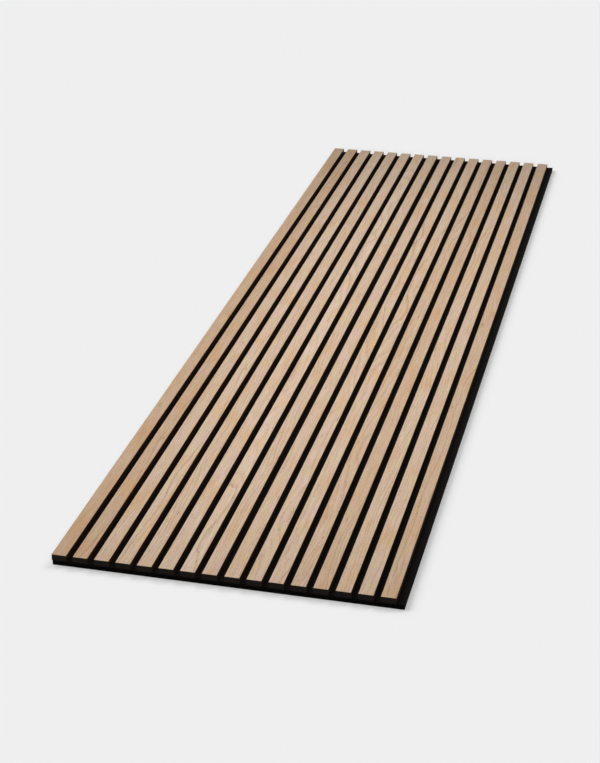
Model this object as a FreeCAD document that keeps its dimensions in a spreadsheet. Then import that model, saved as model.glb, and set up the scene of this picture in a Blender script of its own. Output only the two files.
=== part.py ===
"""Acoustic slat wall panel: veneered MDF slats stapled to a sheet of needled felt.

Frame, in millimetres: X runs across the slats, Y along them and Z out of the back
of the felt towards the room. The origin is the bottom centre of the whole panel,
so Z = 0 is the face that lies on the wall or on the floor.
"""
import FreeCAD
import Part
import os
import Sketcher

SIZES = {
    # Slats and the grid that they lie on
    "slat_length": 2400,
    "slat_width": 27,
    "slat_gap": 13,
    "slats_per_half": 8,
    "middle_gap_extra": 1.2,
    "core_thickness": 11.4,
    "veneer_thickness": 0.6,
    "veneer_arris": 0.4,
    # Felt sheet, with one edge that reaches past the last slat to meet the next panel,
    # and one end that reaches past the ends of all the slats
    "felt_thickness": 9,
    "felt_reach": 15,
    "felt_end_reach": 9,
    "felt_setback": 1.2,
    # Staples of flat wire, driven through the felt into the slats
    "staples_per_slat": 5,
    "staple_end_distance": 60,
    "staple_crown": 10,
    "staple_bite": 5.4,
    "staple_recess": 0.4,
    "wire_width": 1.2,
    "wire_thickness": 0.6,
    "leg_clearance": 0.05,
    "tip_clearance": 0.3,
}

# A fillet or chamfer stays inside the veneer, at most this share of its thickness
ARRIS_LIMIT = 0.7

# Distances that follow from the sizes, written for the sheet's own formulas
PITCH = "(Sizes.slat_width + Sizes.slat_gap)"
MIDDLE_GAP = "(Sizes.slat_gap + Sizes.middle_gap_extra)"
FIELD_WIDTH = (
    f"(2 * Sizes.slats_per_half * {PITCH} - Sizes.slat_gap + Sizes.middle_gap_extra)"
)
FIELD_CENTRE_X = "(-Sizes.felt_reach / 2)"
FIELD_CENTRE_Y = "(-Sizes.felt_end_reach / 2)"
STAPLE_ROW = "(Sizes.slat_length - 2 * Sizes.staple_end_distance)"
FIRST_STAPLE_X = f"({MIDDLE_GAP} / 2 + Sizes.slat_width / 2)"
FIRST_STAPLE_Y = "(-Sizes.slat_length / 2 + Sizes.staple_end_distance)"
LEG_CENTRE = "((Sizes.staple_crown - Sizes.wire_thickness) / 2)"
HOLE_WIDTH = "(Sizes.wire_thickness + 2 * Sizes.leg_clearance)"
HOLE_LENGTH = "(Sizes.wire_width + 2 * Sizes.leg_clearance)"
CROWN_SEAT = "(Sizes.staple_recess + Sizes.wire_thickness)"

doc = FreeCAD.newDocument("slat_wall_panel")


def make_sheet():
    """Write the driving sizes into a spreadsheet, one named cell each."""
    sheet = doc.addObject("Spreadsheet::Sheet", "Sizes")
    for row, (name, value) in enumerate(SIZES.items(), start=1):
        sheet.set(f"A{row}", name)
        sheet.set(f"B{row}", str(value))
        sheet.setAlias(f"B{row}", name)
    doc.recompute()
    return sheet


def origin_item(body, role):
    """The plane or axis of a body's own origin that has this role."""
    return next(o for o in body.Origin.OriginFeatures if o.Role == role)


def make_body(label, across="0", height="0"):
    """A body at a distance across the panel, from the middle of the slats, and a height."""
    body = doc.addObject("PartDesign::Body", label)
    body.Label = label
    body.setExpression("Placement.Base.x", f"{FIELD_CENTRE_X} + {across}")
    body.setExpression("Placement.Base.y", FIELD_CENTRE_Y)
    body.setExpression("Placement.Base.z", height)
    return body


def make_sketch(body, name, plane):
    """An empty sketch on one of the body's origin planes."""
    sketch = body.newObject("Sketcher::SketchObject", name)
    sketch.AttachmentSupport = [(origin_item(body, plane), "")]
    sketch.MapMode = "FlatFace"
    return sketch


def bind(sketch, constraint, name, formula):
    """Add a named constraint whose value is a formula of the sizes."""
    index = sketch.addConstraint(constraint)
    sketch.renameConstraint(index, name)
    sketch.setExpression(f"Constraints.{name}", formula)


def add_rectangle(sketch, name, centre_x, centre_y, width, length):
    """Draw a rectangle about a centre, with its place and size as formulas."""
    first = sketch.GeometryCount
    corners = [(0, 0), (1, 0), (1, 1), (0, 1)]
    for (x1, y1), (x2, y2) in zip(corners, corners[1:] + corners[:1]):
        start = FreeCAD.Vector(x1, y1, 0)
        end = FreeCAD.Vector(x2, y2, 0)
        sketch.addGeometry(Part.LineSegment(start, end))
    bottom, right, top, left = range(first, first + 4)
    for side, following in ((bottom, right), (right, top), (top, left), (left, bottom)):
        sketch.addConstraint(Sketcher.Constraint("Coincident", side, 2, following, 1))
    for side in (bottom, top):
        sketch.addConstraint(Sketcher.Constraint("Horizontal", side))
    for side in (right, left):
        sketch.addConstraint(Sketcher.Constraint("Vertical", side))
    across = Sketcher.Constraint("DistanceX", bottom, 1, bottom, 2, 1.0)
    along = Sketcher.Constraint("DistanceY", right, 1, right, 2, 1.0)
    place_x = Sketcher.Constraint("DistanceX", -1, 1, bottom, 1, 1.0)
    place_y = Sketcher.Constraint("DistanceY", -1, 1, bottom, 1, 1.0)
    bind(sketch, across, f"{name}_width", width)
    bind(sketch, along, f"{name}_length", length)
    bind(sketch, place_x, f"{name}_left", f"{centre_x} - {width} / 2")
    bind(sketch, place_y, f"{name}_bottom", f"{centre_y} - {length} / 2")


def make_pad(body, sketch, name, thickness):
    """Raise a sketch by a thickness."""
    pad = body.newObject("PartDesign::Pad", name)
    pad.Profile = sketch
    pad.setExpression("Length", thickness)
    return pad


def make_pocket(body, sketch, name, depth):
    """Cut a sketch upwards into the body that stands on its plane."""
    pocket = body.newObject("PartDesign::Pocket", name)
    pocket.Profile = sketch
    pocket.Reversed = True
    pocket.setExpression("Length", depth)
    return pocket


def repeat_over_panel(body, name, features):
    """Repeat features at every staple: over one half of the panel, then mirrored."""
    grid = body.newObject("PartDesign::LinearPattern", f"{name}_grid")
    grid.Direction = (origin_item(body, "X_Axis"), [""])
    grid.setExpression("Length", f"(Sizes.slats_per_half - 1) * {PITCH}")
    grid.setExpression("Occurrences", "Sizes.slats_per_half")
    grid.Direction2 = (origin_item(body, "Y_Axis"), [""])
    grid.setExpression("Length2", STAPLE_ROW)
    grid.setExpression("Occurrences2", "Sizes.staples_per_slat")
    mirror = body.newObject("PartDesign::Mirrored", f"{name}_mirror")
    mirror.MirrorPlane = (origin_item(body, "YZ_Plane"), [""])
    both = body.newObject("PartDesign::MultiTransform", name)
    both.Originals = features
    both.Transformations = [grid, mirror]
    body.Tip = both
    return both


def add_leg_holes(sketch, centre_x, centre_y):
    """Draw the two holes that the legs of one staple pass through."""
    for name, side in (("left", "-"), ("right", "+")):
        x = f"{centre_x} {side} {LEG_CENTRE}"
        add_rectangle(sketch, name, f"({x})", centre_y, HOLE_WIDTH, HOLE_LENGTH)


def make_felt():
    """The felt sheet, with a seat for each staple's crown and holes for its legs."""
    body = make_body("felt_backing")
    outline = make_sketch(body, "felt_outline", "XY_Plane")
    centre_x = "((Sizes.felt_reach + Sizes.felt_setback) / 2)"
    centre_y = "(Sizes.felt_end_reach / 2)"
    width = f"({FIELD_WIDTH} + Sizes.felt_reach - Sizes.felt_setback)"
    length = "(Sizes.slat_length + Sizes.felt_end_reach)"
    add_rectangle(outline, "sheet", centre_x, centre_y, width, length)
    make_pad(body, outline, "felt_sheet", "Sizes.felt_thickness")

    crown = make_sketch(body, "crown_outline", "XY_Plane")
    reach = "(Sizes.staple_crown + 2 * Sizes.leg_clearance)"
    add_rectangle(crown, "crown", FIRST_STAPLE_X, FIRST_STAPLE_Y, reach, HOLE_LENGTH)
    seat = make_pocket(body, crown, "crown_seat", CROWN_SEAT)

    legs = make_sketch(body, "leg_outline", "XY_Plane")
    add_leg_holes(legs, FIRST_STAPLE_X, FIRST_STAPLE_Y)
    holes = make_pocket(body, legs, "leg_holes", "Sizes.felt_thickness")
    repeat_over_panel(body, "staple_places", [seat, holes])
    return body


def make_core(number, across):
    """One black MDF slat, with blind holes in its back for the staples' legs."""
    body = make_body(f"slat_core_{number:02d}", across, "Sizes.felt_thickness")
    outline = make_sketch(body, f"core_outline_{number:02d}", "XY_Plane")
    add_rectangle(outline, "core", "0", "0", "Sizes.slat_width", "Sizes.slat_length")
    make_pad(body, outline, f"core_bar_{number:02d}", "Sizes.core_thickness")

    legs = make_sketch(body, f"core_leg_outline_{number:02d}", "XY_Plane")
    add_leg_holes(legs, "0", FIRST_STAPLE_Y)
    depth = "Sizes.staple_bite + Sizes.tip_clearance"
    holes = make_pocket(body, legs, f"core_leg_holes_{number:02d}", depth)

    row = body.newObject("PartDesign::LinearPattern", f"core_hole_row_{number:02d}")
    row.Originals = [holes]
    row.Direction = (origin_item(body, "Y_Axis"), [""])
    row.setExpression("Length", STAPLE_ROW)
    row.setExpression("Occurrences", "Sizes.staples_per_slat")
    body.Tip = row
    return body


def long_top_edges(shape):
    """Names of the edges at the top of a bar that run along Y."""
    names = []
    for index, edge in enumerate(shape.Edges, start=1):
        box = edge.BoundBox
        on_top = abs(box.ZMin - shape.BoundBox.ZMax) < Part.Precision.confusion()
        if on_top and box.YLength > box.XLength:
            names.append(f"Edge{index}")
    return names


def make_veneer(number, across):
    """The oak veneer on the face of one slat, with its long arrises eased."""
    height = "Sizes.felt_thickness + Sizes.core_thickness"
    body = make_body(f"veneer_face_{number:02d}", across, height)
    outline = make_sketch(body, f"veneer_outline_{number:02d}", "XY_Plane")
    add_rectangle(
        outline, "veneer", "0", "0", "Sizes.slat_width", "Sizes.slat_length"
    )
    leaf = make_pad(body, outline, f"veneer_leaf_{number:02d}", "Sizes.veneer_thickness")
    doc.recompute()

    easing = body.newObject("PartDesign::Chamfer", f"veneer_arris_{number:02d}")
    easing.Base = (leaf, long_top_edges(leaf.Shape))
    limit = f"{ARRIS_LIMIT} * Sizes.veneer_thickness"
    easing.setExpression("Size", f"min(Sizes.veneer_arris; {limit})")
    body.Tip = easing
    return body


def make_staples():
    """Every staple of the panel: a crown under the felt and two legs up into a slat."""
    body = make_body("staples", "0", "Sizes.staple_recess")
    body.AllowCompound = True
    outline = make_sketch(body, "staple_outline", "XZ_Plane")
    height = "(Sizes.felt_thickness - Sizes.staple_recess + Sizes.staple_bite)"
    half = "Sizes.staple_crown / 2"
    inner = f"{half} - Sizes.wire_thickness"
    corners = [
        (f"-{half}", "0"),
        (half, "0"),
        (half, height),
        (inner, height),
        (inner, "Sizes.wire_thickness"),
        (f"-({inner})", "Sizes.wire_thickness"),
        (f"-({inner})", height),
        (f"-{half}", height),
    ]
    count = len(corners)
    start_shape = [(0, 0), (9, 0), (9, 9), (8, 9), (8, 1), (1, 1), (1, 9), (0, 9)]
    points = [FreeCAD.Vector(x, y, 0) for x, y in start_shape]
    for index in range(count):
        outline.addGeometry(Part.LineSegment(points[index], points[(index + 1) % count]))
    for index in range(count):
        following = (index + 1) % count
        join = Sketcher.Constraint("Coincident", index, 2, following, 1)
        outline.addConstraint(join)
    for index, (x, y) in enumerate(corners):
        place_x = Sketcher.Constraint("DistanceX", -1, 1, index, 1, 1.0)
        place_y = Sketcher.Constraint("DistanceY", -1, 1, index, 1, 1.0)
        bind(outline, place_x, f"corner_{index}_x", f"{FIRST_STAPLE_X} + {x}")
        bind(outline, place_y, f"corner_{index}_y", y)
    outline.setExpression("AttachmentOffset.Base.z", f"-{FIRST_STAPLE_Y}")
    wire = make_pad(body, outline, "staple_wire", "Sizes.wire_width")
    wire.SideType = "Symmetric"
    repeat_over_panel(body, "all_staples", [wire])
    return body


def make_pieces(sheet):
    """Every separate piece of the panel, as a list of bodies."""
    pieces = [make_felt()]
    slat_count = 2 * int(sheet.slats_per_half)
    for number in range(1, slat_count + 1):
        extra = "Sizes.middle_gap_extra" if number > slat_count / 2 else "0"
        across = (
            f"(-{FIELD_WIDTH} / 2 + Sizes.slat_width / 2"
            f" + {number - 1} * {PITCH} + {extra})"
        )
        pieces.append(make_core(number, across))
        pieces.append(make_veneer(number, across))
    pieces.append(make_staples())
    return pieces


def check(pieces):
    """Stop if any object failed, or a piece has no sound shape."""
    for item in doc.Objects:
        if "Invalid" in item.State or "Error" in item.State:
            raise RuntimeError(f"{item.Label} failed: {item.State}")
    for piece in pieces:
        if piece.Shape.isNull() or not piece.Shape.isValid():
            raise RuntimeError(f"{piece.Label} has no sound shape")


def export(pieces):
    """Write each piece to a file named after it."""
    os.makedirs("parts", exist_ok=True)
    for piece in pieces:
        piece.Shape.exportStep(f"parts/{piece.Label}.step")
        print(piece.Label, len(piece.Shape.Solids), round(piece.Shape.Volume, 1))


all_pieces = make_pieces(make_sheet())
doc.recompute()
check(all_pieces)
export(all_pieces)
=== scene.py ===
"""Looks of the acoustic slat wall panel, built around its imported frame.

Lengths are in metres, in the frame of the model: X across the slats, Y along them,
Z out of the panel. The panel lies on its felt back, slats up.
"""
import bpy
import math
import random
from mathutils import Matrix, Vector, noise
from typing import NamedTuple


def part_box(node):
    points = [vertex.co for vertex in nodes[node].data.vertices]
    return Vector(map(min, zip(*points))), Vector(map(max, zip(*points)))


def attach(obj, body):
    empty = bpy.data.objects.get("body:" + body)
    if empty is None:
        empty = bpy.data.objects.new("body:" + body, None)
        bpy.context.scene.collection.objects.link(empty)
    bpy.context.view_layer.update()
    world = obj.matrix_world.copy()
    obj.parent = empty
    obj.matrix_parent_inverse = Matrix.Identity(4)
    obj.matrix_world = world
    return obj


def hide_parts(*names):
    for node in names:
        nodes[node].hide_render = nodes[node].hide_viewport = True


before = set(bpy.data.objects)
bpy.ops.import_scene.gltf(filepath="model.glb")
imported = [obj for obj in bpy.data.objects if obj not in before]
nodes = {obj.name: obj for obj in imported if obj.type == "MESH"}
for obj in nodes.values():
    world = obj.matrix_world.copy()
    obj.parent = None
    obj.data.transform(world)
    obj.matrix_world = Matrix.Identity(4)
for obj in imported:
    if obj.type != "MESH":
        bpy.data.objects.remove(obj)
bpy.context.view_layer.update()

MM = 0.001
slat_numbers = sorted(n[-2:] for n in nodes if n.startswith("slat_core_"))
felt_low, felt_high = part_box("felt_backing")
cores = [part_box(f"slat_core_{number}") for number in slat_numbers]
slat_centres = [(low.x + high.x) / 2 for low, high in cores]
last_slat_x, slat_end_y = cores[-1][1].x, cores[-1][1].y
gaps = [(left.x, right.x) for (_, left), (right, _) in zip(cores, cores[1:])]

# Each lamp shines on the pieces in one of these alone
lit_panel = bpy.data.collections.new("lit_panel")
lit_floor = bpy.data.collections.new("lit_floor")


def srgb(red, green, blue):
    """A colour given as it shows on a screen, 0 to 255, as the linear colour that nodes use."""
    shares = (value / 255 for value in (red, green, blue))
    return [s / 12.92 if s <= 0.04045 else ((s + 0.055) / 1.055) ** 2.4 for s in shares] + [1.0]


def grey(level):
    """A linear grey, from 0, black, to 1, white."""
    return (level, level, level, 1.0)


class Pattern(NamedTuple):
    """Noise: its cells in a metre along X, Y and Z, and the cell that it starts from."""

    cells: tuple
    detail: float = 2.0
    roughness: float = 0.5
    start: tuple = (0.0, 0.0, 0.0)


class Shader:
    """A node material, with a short call for each kind of node that it uses."""

    def __init__(self, name):
        self.material = bpy.data.materials.new(name)
        self.material.use_nodes = True
        self.tree = self.material.node_tree
        self.tree.nodes.clear()
        self.output = self.tree.nodes.new("ShaderNodeOutputMaterial")
        coordinates = self.tree.nodes.new("ShaderNodeTexCoord")
        self.place = coordinates.outputs["Object"]
        self.facing = coordinates.outputs["Normal"]

    def put(self, socket, value):
        """Link a socket to an output, or set it to a plain value."""
        if isinstance(value, bpy.types.NodeSocket):
            self.tree.links.new(value, socket)
        elif value is not None:
            socket.default_value = value

    def node(self, kind, inputs, output=0, **settings):
        """Add a node, set or link its inputs by name or number, and return one of its outputs."""
        made = self.tree.nodes.new(kind)
        for key, value in settings.items():
            setattr(made, key, value)
        for key, value in inputs.items():
            self.put(made.inputs[key], value)
        return made.outputs[output]

    def math(self, operation, a, b=None):
        return self.node("ShaderNodeMath", {0: a, 1: b}, operation=operation)

    def add(self, a, b):
        return self.math("ADD", a, b)

    def times(self, a, b):
        return self.math("MULTIPLY", a, b)

    def vector(self, x, y, z):
        return self.node("ShaderNodeCombineXYZ", {0: x, 1: y, 2: z})

    def vectors(self, operation, a, b):
        return self.node("ShaderNodeVectorMath", {0: a, 1: b}, operation=operation)

    def parts(self, vector):
        """The X, Y and Z outputs of a vector."""
        split = self.tree.nodes.new("ShaderNodeSeparateXYZ")
        self.put(split.inputs[0], vector)
        return split.outputs

    def along_y(self):
        """1 where the surface faces along Y, either way, and 0 where it faces across Y."""
        return self.math("ABSOLUTE", self.parts(self.facing)[1])

    def stretched(self, vector, cells, start=(0.0, 0.0, 0.0)):
        """A vector in metres, counted in cells."""
        inputs = {"Vector": vector, "Location": start, "Scale": cells}
        return self.node("ShaderNodeMapping", inputs)

    def noise(self, vector, scale, detail=2.0, roughness=0.5, output=0):
        inputs = {"Vector": vector, "Scale": scale, "Detail": detail, "Roughness": roughness}
        return self.node("ShaderNodeTexNoise", inputs, output)

    def draw(self, pattern, vector):
        """The noise of a pattern, over a vector in metres."""
        placed = self.stretched(vector, pattern.cells, pattern.start)
        return self.noise(placed, 1.0, pattern.detail, pattern.roughness)

    def remap(self, value, low, high, to_low=0.0, to_high=1.0):
        """A value's range stretched onto another, and kept inside it."""
        inputs = {0: value, 1: low, 2: high, 3: to_low, 4: to_high}
        return self.node("ShaderNodeMapRange", inputs)

    def mix(self, share, a, b, blend="MIX"):
        """A colour between two others, or one multiplied by the other."""
        made = self.tree.nodes.new("ShaderNodeMix")
        made.data_type = "RGBA"
        made.blend_type = blend
        for socket, value in ((0, share), (6, a), (7, b)):
            self.put(made.inputs[socket], value)
        return made.outputs[2]

    def bump(self, height, relief):
        return self.node("ShaderNodeBump", {"Height": height, "Distance": relief})

    def finish(self, inputs):
        """Join the surface's shader to the output and return the material."""
        surface = self.node("ShaderNodeBsdfPrincipled", inputs)
        self.put(self.output.inputs["Surface"], surface)
        return self.material


# Oak: leaves of veneer, sliced beside the pith of a log. The log's sizes say how far the cut
# lies from the pith, how much that and the pith's place drift, and the slope of the cut

RING_WIDTH = 3.8 * MM
LOG_DEPTH = 42 * MM
LOG_DRIFT = 46 * MM
LOG_SWAY = 46 * MM
LOG_TAPER = 0.012
DRIFT = Pattern((5.0, 1.7, 1.0))
SWAY = Pattern((5.0, 3.0, 1.0), detail=1.0, start=(4.0, 0.0, 0.0))

# How far the rings are torn by fine and by coarse noise, in ring widths
RAGGED = Pattern((420.0, 30.0, 1.0), detail=3.0)
RAGGED_BY = 0.5
FRAYED = Pattern((170.0, 14.0, 1.0), start=(0.0, 5.0, 0.0))
FRAYED_BY = 0.7

# Early wood: its part of a ring's width, how fast it fades, and how dark it is from ring to ring
EARLY_WIDTH = 0.62
EARLY_FALL = 1.6
EARLY_RANGE = (0.2, 1.0)

DASHES = Pattern((2600.0, 130.0, 1.0))
FIBRES = Pattern((700.0, 20.0, 1.0), detail=4.0, roughness=0.6)
STREAKS = Pattern((110.0, 8.0, 1.0), detail=3.0)
RAYS = Pattern((520.0, 75.0, 1.0), detail=1.0, start=(0.0, 3.0, 0.0))
TINT = Pattern((80.0, 17.0, 1.0), detail=1.0, start=(0.0, 0.0, 7.0))
PATCHES = Pattern((38.0, 8.0, 1.0), start=(0.0, 0.0, 3.0))
MARK_CELLS = (60.0, 5.5, 1.0)
MARK_RARITY = 0.87
MARK_RAGGED_BY = 0.12
PORES_IN_EARLY = 0.15

# The values between which each pattern fades in. Marks fade out from the middle of a cell
PORE_LEVELS = (0.62, 0.72)
FIBRE_LEVELS = (0.40, 0.68)
STREAK_LEVELS = (0.3, 0.7)
RAY_LEVELS = (0.68, 0.76)
TINT_LEVELS = (0.38, 0.62)
PATCH_LEVELS = (0.46, 0.70)
MARK_LEVELS = (0.015, 0.075)
END_LEVELS = (0.3, 0.6)

# How much of its own colour each pattern shows at most
TAN_SHARE = 0.75
EARLY_SHARE = 0.62
FIBRE_SHARE = 0.52
PORE_SHARE = 0.9
RAY_SHARE = 0.5
MARK_SHARE = 0.75

OAK_PINK = srgb(224, 196, 182)
OAK_YELLOW = srgb(220, 201, 169)
OAK_TAN = srgb(223, 182, 138)
OAK_STREAK = (0.905, 0.87, 0.825, 1.0)
OAK_EARLY = srgb(177, 142, 110)
OAK_PORE = srgb(140, 106, 77)
OAK_MARK = srgb(106, 74, 52)
OAK_END = srgb(46, 36, 29)

# Powers of the strip's tone in red and blue, so that a darker strip is browner too
RED_POWER = 0.6
BLUE_POWER = 1.55

OAK_RELIEF = 0.06 * MM
PORE_RISE = -0.7
EARLY_RISE = -0.3
FIBRE_RISE = 0.25
OAK_ROUGHNESS = 0.52
PORE_ROUGHNESS = 0.2


def make_oak():
    """Plain-sliced oak: growth rings cut at a slant, pores, ray flecks and a drifting tint.

    Each slat is a strip of some leaf. Its piece carries the attribute "leaf": how far the
    strip lies across the leaf, how far along it, and the strip's tone.
    """
    s = Shader("oak_veneer")
    leaf = s.node("ShaderNodeAttribute", {}, output=1, attribute_name="leaf")
    leaf_across, leaf_along, tone = s.parts(leaf)
    x, y, _ = s.parts(s.place)
    across = s.add(x, leaf_across)
    along = s.add(y, leaf_along)
    cut = s.vector(across, along, 0.0)

    # The cut's depth and the pith drift along the log, which slants the rings or closes them
    depth = s.add(s.times(s.draw(DRIFT, cut), LOG_DRIFT), LOG_DEPTH - LOG_DRIFT / 2)
    depth = s.add(depth, s.times(along, LOG_TAPER))
    sway = s.add(s.draw(SWAY, cut), -0.5)
    sideways = s.add(across, s.times(sway, LOG_SWAY))
    radius = s.math("SQRT", s.add(s.times(sideways, sideways), s.times(depth, depth)))
    ring = s.add(s.times(radius, 1 / RING_WIDTH), s.times(s.draw(RAGGED, cut), RAGGED_BY))
    ring = s.add(ring, s.times(s.draw(FRAYED, cut), FRAYED_BY))
    phase = s.math("FRACT", ring)
    number = s.math("FLOOR", ring)
    strength = s.node("ShaderNodeTexWhiteNoise", {"W": number}, noise_dimensions="1D")
    early = s.math("POWER", s.remap(phase, 0.0, EARLY_WIDTH, 1.0, 0.0), EARLY_FALL)
    early = s.times(early, s.remap(strength, 0.0, 1.0, *EARLY_RANGE))

    # Pores are short dark dashes, most of them in the early wood
    dashes = s.draw(DASHES, cut)
    pores = s.remap(s.add(dashes, s.times(early, PORES_IN_EARLY)), *PORE_LEVELS)
    fibres = s.draw(FIBRES, cut)
    rays = s.remap(s.draw(RAYS, cut), *RAY_LEVELS)

    # Small dark marks lie far apart, at the middle of a few cells
    cells = {"Vector": s.stretched(cut, MARK_CELLS), "Scale": 1.0}
    near = s.node("ShaderNodeTexVoronoi", cells, voronoi_dimensions="2D")
    chance = s.parts(near.node.outputs["Color"])[0]
    chosen = s.math("GREATER_THAN", chance, MARK_RARITY)
    ragged_edge = s.add(near, s.times(s.add(dashes, -0.5), MARK_RAGGED_BY))
    marks = s.times(s.remap(ragged_edge, *MARK_LEVELS, 1.0, 0.0), chosen)

    base = s.mix(s.remap(s.draw(TINT, cut), *TINT_LEVELS), OAK_PINK, OAK_YELLOW)
    base = s.mix(s.remap(s.draw(PATCHES, cut), *PATCH_LEVELS, 0.0, TAN_SHARE), base, OAK_TAN)
    streaked = s.mix(1.0, base, OAK_STREAK, "MULTIPLY")
    base = s.mix(s.remap(s.draw(STREAKS, cut), *STREAK_LEVELS), base, streaked)
    base = s.mix(s.times(early, EARLY_SHARE), base, OAK_EARLY)
    base = s.mix(s.remap(fibres, *FIBRE_LEVELS, 0.0, FIBRE_SHARE), base, OAK_EARLY)
    base = s.mix(s.times(pores, PORE_SHARE), base, OAK_PORE)
    base = s.mix(s.times(rays, RAY_SHARE), base, OAK_PORE)
    base = s.mix(s.times(marks, MARK_SHARE), base, OAK_MARK)
    toned = s.vector(s.math("POWER", tone, RED_POWER), tone, s.math("POWER", tone, BLUE_POWER))
    colour = s.mix(1.0, base, toned, "MULTIPLY")
    colour = s.mix(s.remap(s.along_y(), *END_LEVELS), colour, OAK_END)

    height = s.add(s.times(pores, PORE_RISE), s.times(early, EARLY_RISE))
    height = s.add(height, s.times(fibres, FIBRE_RISE))
    return s.finish({
        "Base Color": colour,
        "Roughness": s.add(s.times(pores, PORE_ROUGHNESS), OAK_ROUGHNESS),
        "Specular IOR Level": 0.3,
        "Normal": s.bump(height, OAK_RELIEF),
    })


# MDF. Here and below, a plain number of cells is the same along X, Y and Z

MDF_DARK = srgb(38, 21, 13)
MDF_LIGHT = srgb(54, 32, 21)
MDF_END_DARK = srgb(27, 23, 21)
MDF_END_LIGHT = srgb(44, 37, 34)
SPECKLE_CELLS = 900.0
CLOUD_CELLS = 45.0
SPECKLE_PART = 0.7
SAW_MARKS = Pattern((60.0, 1500.0, 1900.0), detail=1.0)
SAW_PART = 0.8
MDF_LEVELS = (0.35, 0.65)
SAWN_LEVELS = (0.5, 0.9)
SPECKLE_LEVELS = (0.3, 0.7)
MDF_ROUGHNESS = (0.62, 0.8)
MDF_RELIEF = 0.07 * MM


def make_mdf():
    """Black MDF, dyed through: smooth painted sides, and greyer ends with saw marks."""
    s = Shader("black_mdf")
    speckle = s.noise(s.place, SPECKLE_CELLS, detail=3.0, roughness=0.7)
    cloud = s.noise(s.place, CLOUD_CELLS)
    shade = s.add(s.times(speckle, SPECKLE_PART), s.times(cloud, 1 - SPECKLE_PART))
    shade = s.remap(shade, *MDF_LEVELS)
    sawn = s.remap(s.along_y(), *SAWN_LEVELS)
    sides = s.mix(shade, MDF_DARK, MDF_LIGHT)
    ends = s.mix(shade, MDF_END_DARK, MDF_END_LIGHT)
    saw = s.times(s.times(s.draw(SAW_MARKS, s.place), sawn), SAW_PART)
    return s.finish({
        "Base Color": s.mix(sawn, sides, ends),
        "Roughness": s.remap(speckle, *SPECKLE_LEVELS, *MDF_ROUGHNESS),
        "Specular IOR Level": 0.12,
        "Normal": s.bump(s.add(speckle, saw), MDF_RELIEF),
    })


# Felt

FELT_DARK = srgb(14, 12, 11)
FELT_LIGHT = srgb(37, 33, 31)
WANDER = 4 * MM
WANDER_CELLS = 260.0
FIBRES_ALONG = Pattern((2600.0, 330.0, 2600.0))
FIBRES_ACROSS = Pattern((330.0, 2600.0, 2600.0))
PRICK_CELLS = 620.0
PRICK_RADIUS = 0.35
PRICK_PART = 0.5
TUFT_CELLS = 140.0
TUFT_PART = 0.8
FELT_LEVELS = (0.5, 0.78)
FELT_RELIEF = 0.35 * MM


def make_felt_material():
    """Needled black polyester: matted fibres that lie every way, and needle pricks, each darkened
    by painted shade in its pit.
    """
    s = Shader("black_felt")
    wander = s.noise(s.place, WANDER_CELLS, output=1)
    bent = s.vectors("ADD", s.place, s.vectors("MULTIPLY", wander, (WANDER, WANDER, WANDER)))
    fibres = s.math("MAXIMUM", s.draw(FIBRES_ALONG, bent), s.draw(FIBRES_ACROSS, bent))
    pricks = s.node("ShaderNodeTexVoronoi", {"Vector": s.place, "Scale": PRICK_CELLS})
    pricks = s.remap(pricks, 0.0, PRICK_RADIUS)
    tufts = s.noise(s.place, TUFT_CELLS, detail=3.0)
    # The colour darkens towards each needle prick: painted shade in its pit
    shade = s.times(s.remap(fibres, *FELT_LEVELS), pricks)
    height = s.add(s.add(fibres, s.times(pricks, PRICK_PART)), s.times(tufts, TUFT_PART))
    return s.finish({
        "Base Color": s.mix(shade, FELT_DARK, FELT_LIGHT),
        "Roughness": 0.95,
        "Specular IOR Level": 0.05,
        "Normal": s.bump(height, FELT_RELIEF),
    })


# Steel

STEEL_DULL = srgb(150, 150, 152)
STEEL_BRIGHT = srgb(196, 197, 199)
DRAWN_LINES = Pattern((300.0, 6000.0, 6000.0))
DULL_CELLS = 700.0
DULL_LEVELS = (0.35, 0.65)
DULL_ROUGHNESS = 0.3
LINE_ROUGHNESS = 0.2
STEEL_RELIEF = 0.02 * MM


def make_steel():
    """Galvanised staple wire, with fine drawing lines and dull spots."""
    s = Shader("staple_steel")
    lines = s.draw(DRAWN_LINES, s.place)
    dull = s.noise(s.place, DULL_CELLS)
    return s.finish({
        "Base Color": s.mix(s.remap(dull, *DULL_LEVELS), STEEL_DULL, STEEL_BRIGHT),
        "Metallic": 1.0,
        "Roughness": s.add(s.times(dull, DULL_ROUGHNESS), s.times(lines, LINE_ROUGHNESS)),
        "Normal": s.bump(lines, STEEL_RELIEF),
    })


# Slats: the arris is a bar's rounded long corner, and the ease is that of its ends

ARC_STEPS = 4
BAR_SPANS = 8
SHARP_ANGLE = 30
SUPPORT = 0.1 * MM
VENEER_ARRIS = 0.4 * MM
VENEER_EASE = 0.08 * MM
CORE_ARRIS = 0.3 * MM
CORE_EASE = 0.15 * MM

# Where strips are cut: how far off the middle of a leaf, and how far along the stock
LEAF_HALF_WIDTH = 0.11
LEAF_STOCK = 9.0
TONE_RANGE = (0.93, 1.03)
DARK_SLATS = {1: 0.84, 2: 0.77, 12: 0.87, 13: 0.87, 16: 0.82}
LEAF_SEED = 4262


def loft(rings):
    """The points and faces of a closed solid, skinned over rings of as many points each."""
    count = len(rings[0])
    points = [point for ring in rings for point in ring]
    faces = [list(range(count))[::-1]]
    for start in range(0, (len(rings) - 1) * count, count):
        for index in range(count):
            following = (index + 1) % count
            after = start + count
            faces.append([start + index, start + following, after + following, after + index])
    faces.append(list(range(len(points) - count, len(points))))
    return points, faces


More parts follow.
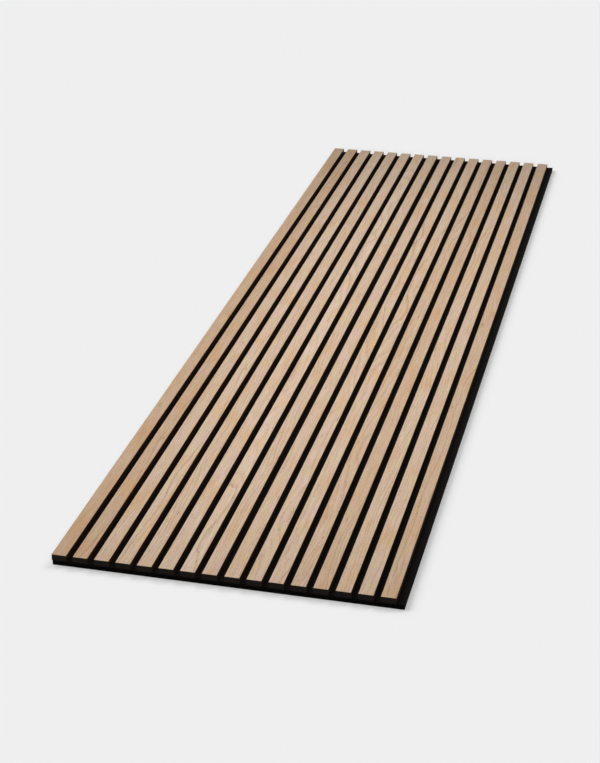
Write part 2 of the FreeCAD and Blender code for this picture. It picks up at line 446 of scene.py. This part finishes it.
def bar_section(low, high, y, arris, round_side, inset):
    """The outline of a bar across Y. Its two long corners on one side, up or down, are round."""
    middle_x, middle_z = (low.x + high.x) / 2, (low.z + high.z) / 2
    half_x, half_z = (high.x - low.x) / 2 - inset, (high.z - low.z) / 2
    ring = []
    for side_x, side_z in ((-1, -1), (-1, 1), (1, 1), (1, -1)):
        corner_x = middle_x + side_x * half_x
        corner_z = middle_z + side_z * (half_z - (inset if side_z == round_side else 0))
        if side_z != round_side:
            ring.append((corner_x, y, corner_z))
            continue
        centre_x, centre_z = corner_x - side_x * arris, corner_z - side_z * arris
        upright = (corner_x, y, centre_z - side_z * SUPPORT)
        level = (centre_x - side_x * SUPPORT, y, corner_z)
        arc = []
        for step in range(ARC_STEPS + 1):
            angle = step / ARC_STEPS * math.pi / 2
            dx, dz = math.cos(angle) * arris, math.sin(angle) * arris
            arc.append((centre_x + side_x * dx, y, centre_z + side_z * dz))
        part = [upright, *arc, level]
        ring += part if side_x * side_z < 0 else part[::-1]
    return ring


def rounded_bar(low, high, arris, round_side, ease):
    """A closed bar along Y, with its ends eased all round."""
    stations = [(low.y, ease)]
    start, end = low.y + ease, high.y - ease
    stations += [(start + (end - start) * i / BAR_SPANS, 0.0) for i in range(BAR_SPANS + 1)]
    stations.append((high.y, ease))
    return loft([bar_section(low, high, y, arris, round_side, i) for y, i in stations])


def make_piece(name, points, faces, material, replaced):
    """Turn points and faces into a piece that stands for a CAD node."""
    mesh = bpy.data.meshes.new(name)
    mesh.from_pydata(points, [], faces)
    mesh.materials.append(material)
    mesh.shade_smooth()
    mesh.set_sharp_from_angle(angle=math.radians(SHARP_ANGLE))
    piece = bpy.data.objects.new(name, mesh)
    bpy.context.scene.collection.objects.link(piece)
    lit_panel.objects.link(piece)
    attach(piece, "root")
    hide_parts(replaced)
    return piece


def make_slat(number, oak, mdf, draw):
    """One slat: its black core, and a face of veneer from a strip of leaf of its own."""
    core = f"slat_core_{number}"
    low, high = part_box(core)
    points, faces = rounded_bar(low, high, CORE_ARRIS, -1, CORE_EASE)
    make_piece(f"core_{number}", points, faces, mdf, core)

    veneer = f"veneer_face_{number}"
    low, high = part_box(veneer)
    points, faces = rounded_bar(low, high, VENEER_ARRIS, 1, VENEER_EASE)
    piece = make_piece(f"veneer_{number}", points, faces, oak, veneer)
    across = draw.uniform(-LEAF_HALF_WIDTH, LEAF_HALF_WIDTH) - (low.x + high.x) / 2
    along = draw.uniform(0.0, LEAF_STOCK)
    tone = draw.uniform(*TONE_RANGE) * DARK_SLATS.get(int(number), 1.0)
    leaf = piece.data.attributes.new("leaf", "FLOAT_VECTOR", "POINT")
    leaf.data.foreach_set("vector", (across, along, tone) * len(points))


# Felt sheet. Its grid is finest at its edges, in the gaps and round the staples. Waves, along
# X and Y, and jags are counted in a metre

FELT_ROUND = 0.8 * MM
BACK_ROUND_SHARE = 0.5
FELT_SWELL = 0.35 * MM
FELT_RIPPLE = 0.2 * MM
WAVE_SHARE = 0.25
WAVES = (60, 25)
FELT_JAG = 0.3 * MM
JAGS = 300
FELT_STEP = 30 * MM
BORDER_STEP = 3 * MM
BORDER_RISE = 6 * MM
LINE_CLEARANCE = 0.15 * MM
EDGE_SHARES = (0.0, 0.3, 1.0, 2.5)
GAP_SHARES = (0.2, 0.5, 0.8)
WALL_SHARES = (0.25, 0.5, 0.75)
PIT_DEPTH = 1.0 * MM
PIT_REACH = 3.2 * MM
PIT_STEPS = (0.0, 0.35, 1.0)

WIRE_WIDTH = 1.2 * MM
WIRE_THICKNESS = 0.6 * MM


def spread(start, end, step):
    """Evenly spaced values from start to end, about a step apart, both ends included."""
    count = max(1, round((end - start) / step))
    return [start + (end - start) * i / count for i in range(count + 1)]


def tidy_lines(lines, low, high):
    """Sorted lines from low to high, without those almost on another one."""
    kept = [low]
    for line in sorted(lines):
        if line - kept[-1] > LINE_CLEARANCE and high - line > LINE_CLEARANCE:
            kept.append(line)
    return kept + [high]


def felt_lines(rows, half_crown):
    """The lines of the felt's grid: each one's X, then each one's Y."""
    low, high = felt_low, felt_high
    flat_from = FELT_ROUND * EDGE_SHARES[-1]
    pit_x = [half_crown + PIT_REACH * share for share in PIT_STEPS]
    pit_y = [WIRE_WIDTH / 2 + PIT_REACH * share for share in PIT_STEPS]
    lines_x = [low.x + FELT_ROUND * share for share in EDGE_SHARES]
    lines_x += [high.x - FELT_ROUND * share for share in EDGE_SHARES]
    lines_x += [c + side * d for c in slat_centres for side in (-1, 1) for d in pit_x]
    lines_x += [x for slat_low, slat_high in cores for x in (slat_low.x, slat_high.x)]
    lines_x += [left + (right - left) * share for left, right in gaps for share in GAP_SHARES]
    lines_x += spread(last_slat_x, high.x - flat_from, BORDER_STEP)
    lines_y = [low.y + FELT_ROUND * share for share in EDGE_SHARES]
    lines_y += [high.y - FELT_ROUND * share for share in EDGE_SHARES]
    lines_y += [row + side * d for row in rows for side in (-1, 1) for d in pit_y]
    lines_y += spread(slat_end_y, high.y - flat_from, BORDER_STEP)
    lines_y += spread(low.y + FELT_STEP / 4, slat_end_y - FELT_STEP / 4, FELT_STEP)
    return tidy_lines(lines_x, low.x, high.x), tidy_lines(lines_y, low.y, high.y)


def drop(distance, radius):
    """How far below its top a rounded edge is, at a distance from the edge's face."""
    short = max(0.0, radius - distance)
    return radius - math.sqrt(max(0.0, radius * radius - short * short))


def openness(x):
    """1 in the middle of a gap or well out on the free border, 0 under a slat."""
    if x > last_slat_x:
        return min(1.0, (x - last_slat_x) / BORDER_RISE)
    for left, right in gaps:
        if left < x < right:
            return math.sin(math.pi * (x - left) / (right - left))
    return 0.0


def felt_surfaces(lines_x, lines_y, rows, half_crown):
    """The points of the felt's face and of its back, one line after another along Y."""
    low, high = felt_low, felt_high
    open_x = [openness(x) for x in lines_x]
    open_y = [min(1.0, max(0.0, y - slat_end_y) / BORDER_RISE) for y in lines_y]
    off_x = [max(0.0, min(abs(x - c) for c in slat_centres) - half_crown) for x in lines_x]
    off_y = [max(0.0, min(abs(y - r) for r in rows) - WIRE_WIDTH / 2) for y in lines_y]
    face, back = [], []
    for j, y in enumerate(lines_y):
        for i, x in enumerate(lines_x):
            edge = drop(min(x - low.x, high.x - x, y - low.y, high.y - y), FELT_ROUND)
            wave = noise.noise(Vector((x * WAVES[0], y * WAVES[1], 0.0)))
            on_border = x > last_slat_x or y > slat_end_y
            swell = 0.0 if on_border else FELT_SWELL * (1 - WAVE_SHARE + WAVE_SHARE * wave)
            swell += FELT_RIPPLE * min(0.0, wave)
            face.append((x, y, high.z - edge + max(open_x[i], open_y[j]) * swell))
            away = min(1.0, math.hypot(off_x[i], off_y[j]) / PIT_REACH)
            pit = PIT_DEPTH * (1 - away) ** 2
            back.append((x, y, low.z + edge * BACK_ROUND_SHARE + pit))
    return face, back


def add_cut_edge(points, faces, rim, back_start):
    """Join the felt's face to its back by rough rings of points round the sheet."""
    low, high = felt_low, felt_high
    rings = [rim]
    for share in WALL_SHARES:
        ring = []
        for index in rim:
            x, y, z = points[index]
            z += (points[back_start + index][2] - z) * share
            jag = abs(noise.noise(Vector((x, y, z)) * JAGS)) * FELT_JAG
            if x in (low.x, high.x):
                x += jag if x == low.x else -jag
            if y in (low.y, high.y):
                y += jag if y == low.y else -jag
            ring.append(len(points))
            points.append((x, y, z))
        rings.append(ring)
    rings.append([back_start + index for index in rim])
    for upper, lower in zip(rings, rings[1:]):
        for i in range(len(rim)):
            k = (i + 1) % len(rim)
            faces.append([upper[i], lower[i], lower[k], upper[k]])


def make_felt(material, rows, half_crown):
    """The felt: soft cut edges, a swell in each gap, and a pit in its back at each staple."""
    lines_x, lines_y = felt_lines(rows, half_crown)
    face, back = felt_surfaces(lines_x, lines_y, rows, half_crown)
    across, along = len(lines_x), len(lines_y)
    start = len(face)
    points = face + back
    faces = []
    for j in range(along - 1):
        for i in range(across - 1):
            a = j * across + i
            b, c, d = a + 1, a + across + 1, a + across
            faces += [[a, b, c, d], [start + d, start + c, start + b, start + a]]
    rim = list(range(across))
    rim += [j * across + across - 1 for j in range(1, along)]
    rim += [(along - 1) * across + i for i in range(across - 2, -1, -1)]
    rim += [j * across for j in range(along - 2, 0, -1)]
    add_cut_edge(points, faces, rim, start)
    make_piece("felt_sheet", points, faces, material, "felt_backing")


# Staples

WIRE_ARRIS = 0.12 * MM
BEND_RADIUS = 0.6 * MM
BEND_STEPS = 4
POINT_LENGTH = 1.8 * MM
POINT_THICKNESS = 0.1 * MM
ROW_CLEARANCE = 1 * MM


def wire_ring(centre, outward, y, thickness):
    """The outline of flat wire, across the direction that it runs in."""
    half_w, half_t = WIRE_WIDTH / 2, thickness / 2
    cut = min(WIRE_ARRIS, half_t / 2)
    corners = (
        (half_w - cut, half_t), (half_w, half_t - cut),
        (half_w, cut - half_t), (half_w - cut, -half_t),
        (cut - half_w, -half_t), (-half_w, cut - half_t),
        (-half_w, half_t - cut), (cut - half_w, half_t),
    )
    return [
        (centre[0] + outward[0] * off, y + side, centre[1] + outward[1] * off)
        for side, off in corners
    ]


def staple(centre_x, y, half_crown, low_z, high_z):
    """One staple: two chisel-pointed legs up, joined by a crown with rounded bends."""
    leg = half_crown - WIRE_THICKNESS / 2
    crown_z = low_z + WIRE_THICKNESS / 2
    stations = []
    for side in (-1, 1):
        half = [((side * leg, high_z), (side, 0), POINT_THICKNESS)]
        half.append(((side * leg, high_z - POINT_LENGTH), (side, 0), WIRE_THICKNESS))
        for step in range(BEND_STEPS + 1):
            angle = step / BEND_STEPS * math.pi / 2
            out = (side * math.cos(angle), -math.sin(angle))
            place = (
                side * (leg - BEND_RADIUS) + out[0] * BEND_RADIUS,
                crown_z + BEND_RADIUS + out[1] * BEND_RADIUS,
            )
            half.append((place, out, WIRE_THICKNESS))
        stations += half if side < 0 else half[::-1]
    return loft([
        wire_ring((centre_x + place[0], place[1]), out, y, thickness)
        for place, out, thickness in stations
    ])


def row_middles(values):
    """The middles of the rows of staples that these values of Y belong to."""
    rows = []
    for value in sorted(values):
        if not rows or value - rows[-1][-1] > ROW_CLEARANCE + WIRE_WIDTH:
            rows.append([])
        rows[-1].append(value)
    return [(row[0] + row[-1]) / 2 for row in rows]


def make_staples(material, rows, half_crown):
    """Rows of staples across the panel, one staple to a slat in each row."""
    low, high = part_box("staples")
    points, faces = [], []
    for y in rows:
        for centre_x in slat_centres:
            more_points, more_faces = staple(centre_x, y, half_crown, low.z, high.z)
            faces += [[len(points) + index for index in face] for face in more_faces]
            points += more_points
    make_piece("staple_rows", points, faces, material, "staples")


# Camera, solved from the photograph's slat edges. Its turn is in degrees, lens in millimetres

CAMERA_PLACE = (0.7437, -3.8143, 1.6900)
CAMERA_TURN = (64.563, -0.219, 13.240)
CAMERA_LENS = 85.02
CAMERA_SENSOR = 36


def make_camera():
    data = bpy.data.cameras.new("camera")
    data.sensor_width = CAMERA_SENSOR
    data.lens = CAMERA_LENS
    camera = bpy.data.objects.new("camera", data)
    camera.location = CAMERA_PLACE
    camera.rotation_euler = [math.radians(angle) for angle in CAMERA_TURN]
    bpy.context.scene.collection.objects.link(camera)
    bpy.context.scene.camera = camera


# Studio. Light is given as a share of what makes a level white surface show as white. The
# softbox adds about 0.6 of that in the middle of the panel. A sun is given as its share and
# then, in degrees, the way round from +X, the height that it stands at and its width

BACKDROP = 0.863
AMBIENT = 0.09
PANEL_SUN = (0.29, 144, 37.7, 45)
SOFTBOX_SIZE = (1.0, 2.43)
SOFTBOX_PLACE = (0.0, -0.18, 0.66)
SOFTBOX_ENERGY = 8.4

# The two far suns cross, so that the shadow in front of the slats' near ends is even
FLOOR_SUNS = {
    "sun_left": (0.219, 182, 35.6, 20),
    "sun_far_left": (0.166, 146, 42.5, 28),
    "sun_far_right": (0.163, 62, 47.6, 28),
    "sun_near": (0.055, 268, 13.7, 7),
    "sun_top": (0.277, 0, 90, 5),
}

# The floor is seen in its shade, with a faint glow. It lights the panel by its bounce
FLOOR_SHADE = 0.865
FLOOR_GLOW = 0.026
FLOOR_BOUNCE = (0.2574, 0.26)
FLOOR_CELLS = 35.0
FLOOR_SIZE = 40.0
FLOOR_DROP = 0.1 * MM


def seen_directly(tree):
    """1 for rays that the camera sees, also in a mirror or through glass, and 0 for others."""
    path = tree.nodes.new("ShaderNodeLightPath")
    total = path.outputs["Is Camera Ray"]
    for name in ("Is Glossy Ray", "Is Transmission Ray"):
        add = tree.nodes.new("ShaderNodeMath")
        add.operation = "MAXIMUM"
        tree.links.new(total, add.inputs[0])
        tree.links.new(path.outputs[name], add.inputs[1])
        total = add.outputs[0]
    return total


def make_world():
    """A white world: a pale backdrop where it is seen, and a faint light on the rest."""
    world = bpy.data.worlds.new("studio")
    bpy.context.scene.world = world
    world.use_nodes = True
    tree = world.node_tree
    tree.nodes.clear()
    background = tree.nodes.new("ShaderNodeBackground")
    strength = tree.nodes.new("ShaderNodeMapRange")
    strength.inputs["To Min"].default_value = AMBIENT
    strength.inputs["To Max"].default_value = BACKDROP
    tree.links.new(seen_directly(tree), strength.inputs["Value"])
    tree.links.new(strength.outputs[0], background.inputs["Strength"])
    background.inputs["Color"].default_value = grey(1.0)
    output = tree.nodes.new("ShaderNodeOutputWorld")
    tree.links.new(background.outputs[0], output.inputs["Surface"])


def make_floor():
    """A wide pale floor, that shows as evenly as a studio sweep and keeps the shadow."""
    half = FLOOR_SIZE / 2
    mesh = bpy.data.meshes.new("floor")
    corners = [(-half, -half), (half, -half), (half, half), (-half, half)]
    mesh.from_pydata([(x, y, -FLOOR_DROP) for x, y in corners], [], [[0, 1, 2, 3]])
    floor = bpy.data.objects.new("floor", mesh)
    bpy.context.scene.collection.objects.link(floor)
    lit_floor.objects.link(floor)

    s = Shader("studio_floor")
    grain = s.noise(s.place, FLOOR_CELLS, detail=3.0)
    bounce = s.mix(grain, *(grey(level) for level in FLOOR_BOUNCE))
    plain = s.node("ShaderNodeBsdfDiffuse", {"Color": bounce})
    shade = s.node("ShaderNodeBsdfDiffuse", {"Color": grey(FLOOR_SHADE)})
    glow = s.node("ShaderNodeEmission", {"Strength": FLOOR_GLOW})
    shown = s.node("ShaderNodeAddShader", {0: shade, 1: glow})
    surface = s.node("ShaderNodeMixShader", {0: seen_directly(s.tree), 1: plain, 2: shown})
    s.put(s.output.inputs["Surface"], surface)
    mesh.materials.append(s.material)


def make_sun(name, receivers, share, way_round, height, width):
    """A sun that shines on its receivers alone."""
    sun = bpy.data.lights.new(name, "SUN")
    sun.energy = share * math.pi / math.sin(math.radians(height))
    sun.angle = math.radians(width)
    lamp = bpy.data.objects.new(name, sun)
    lamp.rotation_euler = (0.0, math.radians(90 - height), math.radians(way_round))
    lamp.light_linking.receiver_collection = receivers
    bpy.context.scene.collection.objects.link(lamp)


def make_lights():
    """Lights for the panel, and others for the floor that give it the photo's soft shadow."""
    make_sun("sun_panel", lit_panel, *PANEL_SUN)
    for name, values in FLOOR_SUNS.items():
        make_sun(name, lit_floor, *values)

    # The softbox hangs over the panel, and isn't seen
    softbox = bpy.data.lights.new("softbox", "AREA")
    softbox.shape = "RECTANGLE"
    softbox.size, softbox.size_y = SOFTBOX_SIZE
    softbox.energy = SOFTBOX_ENERGY
    lamp = bpy.data.objects.new("softbox", softbox)
    lamp.location = SOFTBOX_PLACE
    lamp.visible_camera = False
    lamp.visible_glossy = False
    lamp.light_linking.receiver_collection = lit_panel
    bpy.context.scene.collection.objects.link(lamp)


make_camera()
make_world()
make_floor()
make_lights()

oak = make_oak()
mdf = make_mdf()
draw = random.Random(LEAF_SEED)
for number in slat_numbers:
    make_slat(number, oak, mdf, draw)

# The rows and the crown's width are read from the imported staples
staple_points = [vertex.co for vertex in nodes["staples"].data.vertices]
staple_rows = row_middles([point.y for point in staple_points])
half_crown = max(
    abs(point.x - slat_centres[0])
    for point in staple_points
    if abs(point.x - slat_centres[0]) < (slat_centres[1] - slat_centres[0]) / 2
)
make_felt(make_felt_material(), staple_rows, half_crown)
make_staples(make_steel(), staple_rows, half_crown)

view = bpy.context.scene.view_settings
view.view_transform = "Standard"
